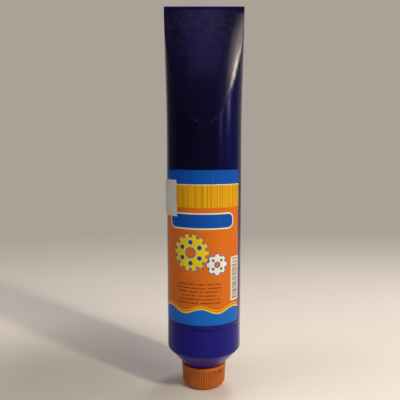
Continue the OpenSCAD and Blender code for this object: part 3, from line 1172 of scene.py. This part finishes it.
def make_sticker(settings):
    """The paper price sticker with its notched sides and its slightly lifted free edge."""
    sticker, label = settings.sticker, settings.label
    tall = sticker.high_z - sticker.low_z
    half_w = sticker.width / 2
    notch = sticker.notch_r
    centres = [tall / 2 + side * sticker.notch_pitch / 2 for side in (-1, 1)]
    label_edge = (label.middle - label.arc / 2 - sticker.middle) * sticker.inner_r
    free_from = label_edge + FREE_FROM

    def row(v):
        cut = max(math.sqrt(max(notch ** 2 - (v - centre) ** 2, 0)) for centre in centres)
        return [((half_w - cut) * c, v) for c in steps(-1, 1, STICKER_COLUMNS)]

    def wrap(u, v, depth):
        free = min(max((free_from - u) / (free_from + half_w), 0), 1)
        lift = sticker.curl * free ** 2 * (0.6 + 0.4 * math.sin(math.pi * v / tall))
        aside = (tall / 2 - v) * math.tan(sticker.lean)
        r = sticker.inner_r + depth + lift
        return on_body(r, u + aside, sticker.low_z + v, sticker.middle, sticker.inner_r)

    low, high = centres[0] - notch, centres[1] + notch
    notched = steps(low, high, 2 * NOTCH_ROWS)[1:-1]
    heights = steps(0, low, PLAIN_ROWS) + notched + steps(high, tall, PLAIN_ROWS)
    make_sheet(
        "price_tag", [row(v) for v in heights], wrap, sticker.thickness, sticker_paper(sticker),
        "price_sticker")


def sticker_paper(sticker):
    """Matt white paper with fibres, a greyed edge and faint rubbed smears."""
    material, tree, shader = new_material("Sticker paper")
    height, blotch = place_group(tree, moulded_grain(), Scale=2800.0, Blotch_Scale=260.0)
    dust, = place_group(tree, settled_dust(), Amount=0.3)
    u, v = print_place(tree)
    fibres = grain(tree, 3600.0, 3.0, (1, 1, 0.25))
    half_w = sticker.width / 2 / MM
    rim = u.calc("ABSOLUTE").rise(half_w - RIM_W, half_w)
    smear = grain(tree, 260.0, 3.0, (1, 1, 2.5)).rise(0.52, 0.75)
    base = paint(
        fibres.mottle(sticker.paper, 0.94, 1.05),
        (smear * v.between(*SMEAR_RISE, SMEAR_SOFT) * 0.3, tone(sticker.paper, 0.55)),
        (rim * 0.35 + blotch * 0.08, tone(sticker.paper, 0.6)),
        (dust * 0.4, DUST_COLOUR))
    finish(
        shader, fibres + height * 0.4, 0.02 * MM,
        Base_Color=base, Roughness=fibres.spread(0.7, 0.85))
    return material


# Stage

FLOOR_STEPS = 128
FLOOR_RINGS = 12
FADE_BEHIND = (0.1, 0.7)
FADE_AROUND = (0.5, 1.3)
SHADE_PLACE = -95 * MM
SHADE_REACH = (20 * MM, 150 * MM)
AIM = Vector((0, 0, 0.12))

# Where the background changes, as parts of a direction: up to overhead, back to the wall and from the left
OVERHEAD = (0.45, 0.9)
WALL_BACK = (0.2, 0.85)
WALL_LEFT = (-0.75, -0.42)


def make_floor(stage):
    """A pale round floor, with a soft shade to the left of the cap, which fades into the background."""
    material, tree, shader = new_material("Pale floor")
    blotch = grain(tree, 9.0, 4.0)
    x, y, _ = axes(tree, surface_place(tree))
    shade = span(x - SHADE_PLACE, y).rise(*SHADE_REACH).flip()
    base = paint(blotch.mottle(stage.floor, 0.97, 1.03), (shade, tone(stage.floor, 0.55)))
    fade = y.rise(*FADE_BEHIND).flip() * span(x, y).rise(*FADE_AROUND).flip()
    plug_all(tree, shader, {"Base Color": base, "Alpha": fade, "Roughness": 0.6})
    sizes = [stage.floor_r * (k / FLOOR_RINGS) ** 2 for k in range(FLOOR_RINGS, 0, -1)]
    points, faces = skin([circle(r, 0, FLOOR_STEPS) for r in sizes], end_fan=(0, 0, 0))
    floor = add_mesh("floor", points, faces, material)


def make_background(stage):
    """A pale background for the camera; other rays see it only behind the tube, and a dim room in front."""
    world = bpy.data.worlds.new("Plain room")
    bpy.context.scene.world = world
    world.use_nodes = True
    tree = world.node_tree
    shader = tree.nodes["Background"]
    x, y, z = axes(tree, tree.nodes.new("ShaderNodeTexCoord").outputs["Generated"])
    front = z.rise(*OVERHEAD).mix(stage.room, stage.ceiling)
    behind = y.rise(*WALL_BACK) * x.rise(*WALL_LEFT)
    seen = Field(tree, tree.nodes.new("ShaderNodeLightPath").outputs["Is Camera Ray"])
    base = paint(front, (behind, stage.wall), (seen, stage.wall))
    plug_all(tree, shader, {"Color": base, "Strength": 1})


def make_lamp(name, azimuth, elevation, distance, size, radiance, shade, lit):
    """A soft lamp that faces the tube, with a brightness at its face; one not lit shows only in gloss."""
    data = bpy.data.lights.new(name, "AREA")
    data.shape = "RECTANGLE"
    data.size, data.size_y = size
    data.energy = radiance * math.pi * size[0] * size[1]
    data.color = shade
    a, e = math.radians(azimuth), math.radians(elevation)
    away = Vector((math.sin(a) * math.cos(e), -math.cos(a) * math.cos(e), math.sin(e)))
    lamp = add_object(name, data)
    lamp.location = AIM + away * distance
    lamp.rotation_euler = away.to_track_quat("Z", "Y").to_euler()
    lamp.visible_camera = False
    lamp.visible_diffuse = lit


def make_camera(stage):
    """The camera at the photograph's place and angle."""
    data = bpy.data.cameras.new("camera")
    data.sensor_fit = "HORIZONTAL"
    data.sensor_width = 36
    data.lens = stage.lens
    data.clip_start = 0.01
    camera = add_object("camera", data)
    camera.location = stage.camera_place
    camera.rotation_euler = (math.pi / 2 - stage.camera_dip, 0, 0)
    bpy.context.scene.camera = camera


# Name, azimuth, elevation, distance, width and height, brightness and colour of each lamp and glow
LAMPS = (
    ("window_lamp", 84, 40, 0.9, (0.3, 0.3), 3.5, "lamp"),
    ("side_lamp", 49.5, 36.5, 0.9, (0.06, 0.16), 140.0, "key"),
    ("soft_lamp", 43.5, 45.5, 0.95, (0.12, 0.2), 11.0, "key"),
    ("halo_lamp", 39.5, 47.5, 0.95, (0.25, 0.3), 5.5, "key"),
    ("front_lamp", 0, 16.5, 1.2, (0.9, 0.14), 2.4, "lamp"),
    ("fill_lamp", -72, 60, 1.1, (0.4, 0.4), 4.2, "lamp"),
    ("back_lamp", 150, 58, 1.1, (0.35, 0.35), 10.0, "lamp"),
)
GLOWS = (
    ("back_glow", 140, 38, 0.9, (0.2, 0.4), 8.0, "glow"),
    ("ceiling_glow", 2, 57, 1.2, (0.17, 0.5), 2.0, "violet"),
    ("window_glow", 78.5, 17, 0.9, (0.05, 0.22), 60.0, "glow"),
    ("side_glow", 51, 14, 0.9, (0.06, 0.3), 6.0, "glow"),
)


# Operators and panel

class GREASETUBE_OT_stage(bpy.types.Operator):
    """Make the floor, the background, the lamps and the camera"""
    bl_idname = "grease_tube.stage"
    bl_label = "Stage"

    def execute(self, context):
        stage = context.scene.grease_tube.stage
        context.scene.view_settings.view_transform = "Standard"
        make_floor(stage)
        make_background(stage)
        for *placing, shade in LAMPS:
            make_lamp(*placing, getattr(stage, shade), True)
        for *placing, shade in GLOWS:
            make_lamp(*placing, getattr(stage, shade), False)
        make_camera(stage)
        return {"FINISHED"}


class GREASETUBE_OT_tube(bpy.types.Operator):
    """Make the indigo tube with its neck, body, fold and seam"""
    bl_idname = "grease_tube.tube"
    bl_label = "Tube"

    def execute(self, context):
        make_tube(context.scene.grease_tube)
        return {"FINISHED"}


class GREASETUBE_OT_grease(bpy.types.Operator):
    """Make the grease in the tube"""
    bl_idname = "grease_tube.grease"
    bl_label = "Grease"

    def execute(self, context):
        make_grease(context.scene.grease_tube)
        return {"FINISHED"}


class GREASETUBE_OT_cap(bpy.types.Operator):
    """Make the ribbed screw cap"""
    bl_idname = "grease_tube.cap"
    bl_label = "Cap"

    def execute(self, context):
        make_cap(context.scene.grease_tube)
        return {"FINISHED"}


class GREASETUBE_OT_liner(bpy.types.Operator):
    """Make the sealing liner in the cap"""
    bl_idname = "grease_tube.liner"
    bl_label = "Liner"

    def execute(self, context):
        make_liner(context.scene.grease_tube)
        return {"FINISHED"}


class GREASETUBE_OT_label(bpy.types.Operator):
    """Make the printed front label"""
    bl_idname = "grease_tube.label"
    bl_label = "Label"

    def execute(self, context):
        make_label(context.scene.grease_tube)
        return {"FINISHED"}


class GREASETUBE_OT_sticker(bpy.types.Operator):
    """Make the paper price sticker"""
    bl_idname = "grease_tube.sticker"
    bl_label = "Sticker"

    def execute(self, context):
        make_sticker(context.scene.grease_tube)
        return {"FINISHED"}


OPERATORS = (
    GREASETUBE_OT_stage, GREASETUBE_OT_tube, GREASETUBE_OT_grease, GREASETUBE_OT_cap,
    GREASETUBE_OT_liner, GREASETUBE_OT_label, GREASETUBE_OT_sticker)


class GREASETUBE_PT_panel(bpy.types.Panel):
    """Sizes, colours and pieces of the grease tube"""
    bl_idname = "GREASETUBE_PT_panel"
    bl_label = "Grease tube"
    bl_space_type = "VIEW_3D"
    bl_region_type = "UI"
    bl_category = "Grease tube"

    def draw(self, context):
        settings = context.scene.grease_tube
        for operator in OPERATORS:
            self.layout.operator(operator.bl_idname)
        for part in settings.__annotations__:
            group = getattr(settings, part)
            box = self.layout.box()
            for name in group.__annotations__:
                box.prop(group, name)


CLASSES = (
    TubeSettings, ThreadSettings, CapSettings, LabelSettings, StickerSettings, StageSettings,
    GreaseTubeSettings, *OPERATORS, GREASETUBE_PT_panel)


def register():
    for cls in CLASSES:
        bpy.utils.register_class(cls)
    bpy.types.Scene.grease_tube = PointerProperty(type=GreaseTubeSettings)


def unregister():
    del bpy.types.Scene.grease_tube
    for cls in reversed(CLASSES):
        bpy.utils.unregister_class(cls)


def main():
    register()
    bpy.ops.grease_tube.stage()
    bpy.ops.grease_tube.tube()
    bpy.ops.grease_tube.grease()
    bpy.ops.grease_tube.cap()
    bpy.ops.grease_tube.liner()
    bpy.ops.grease_tube.label()
    bpy.ops.grease_tube.sticker()


if __name__ == "__main__":
    main()
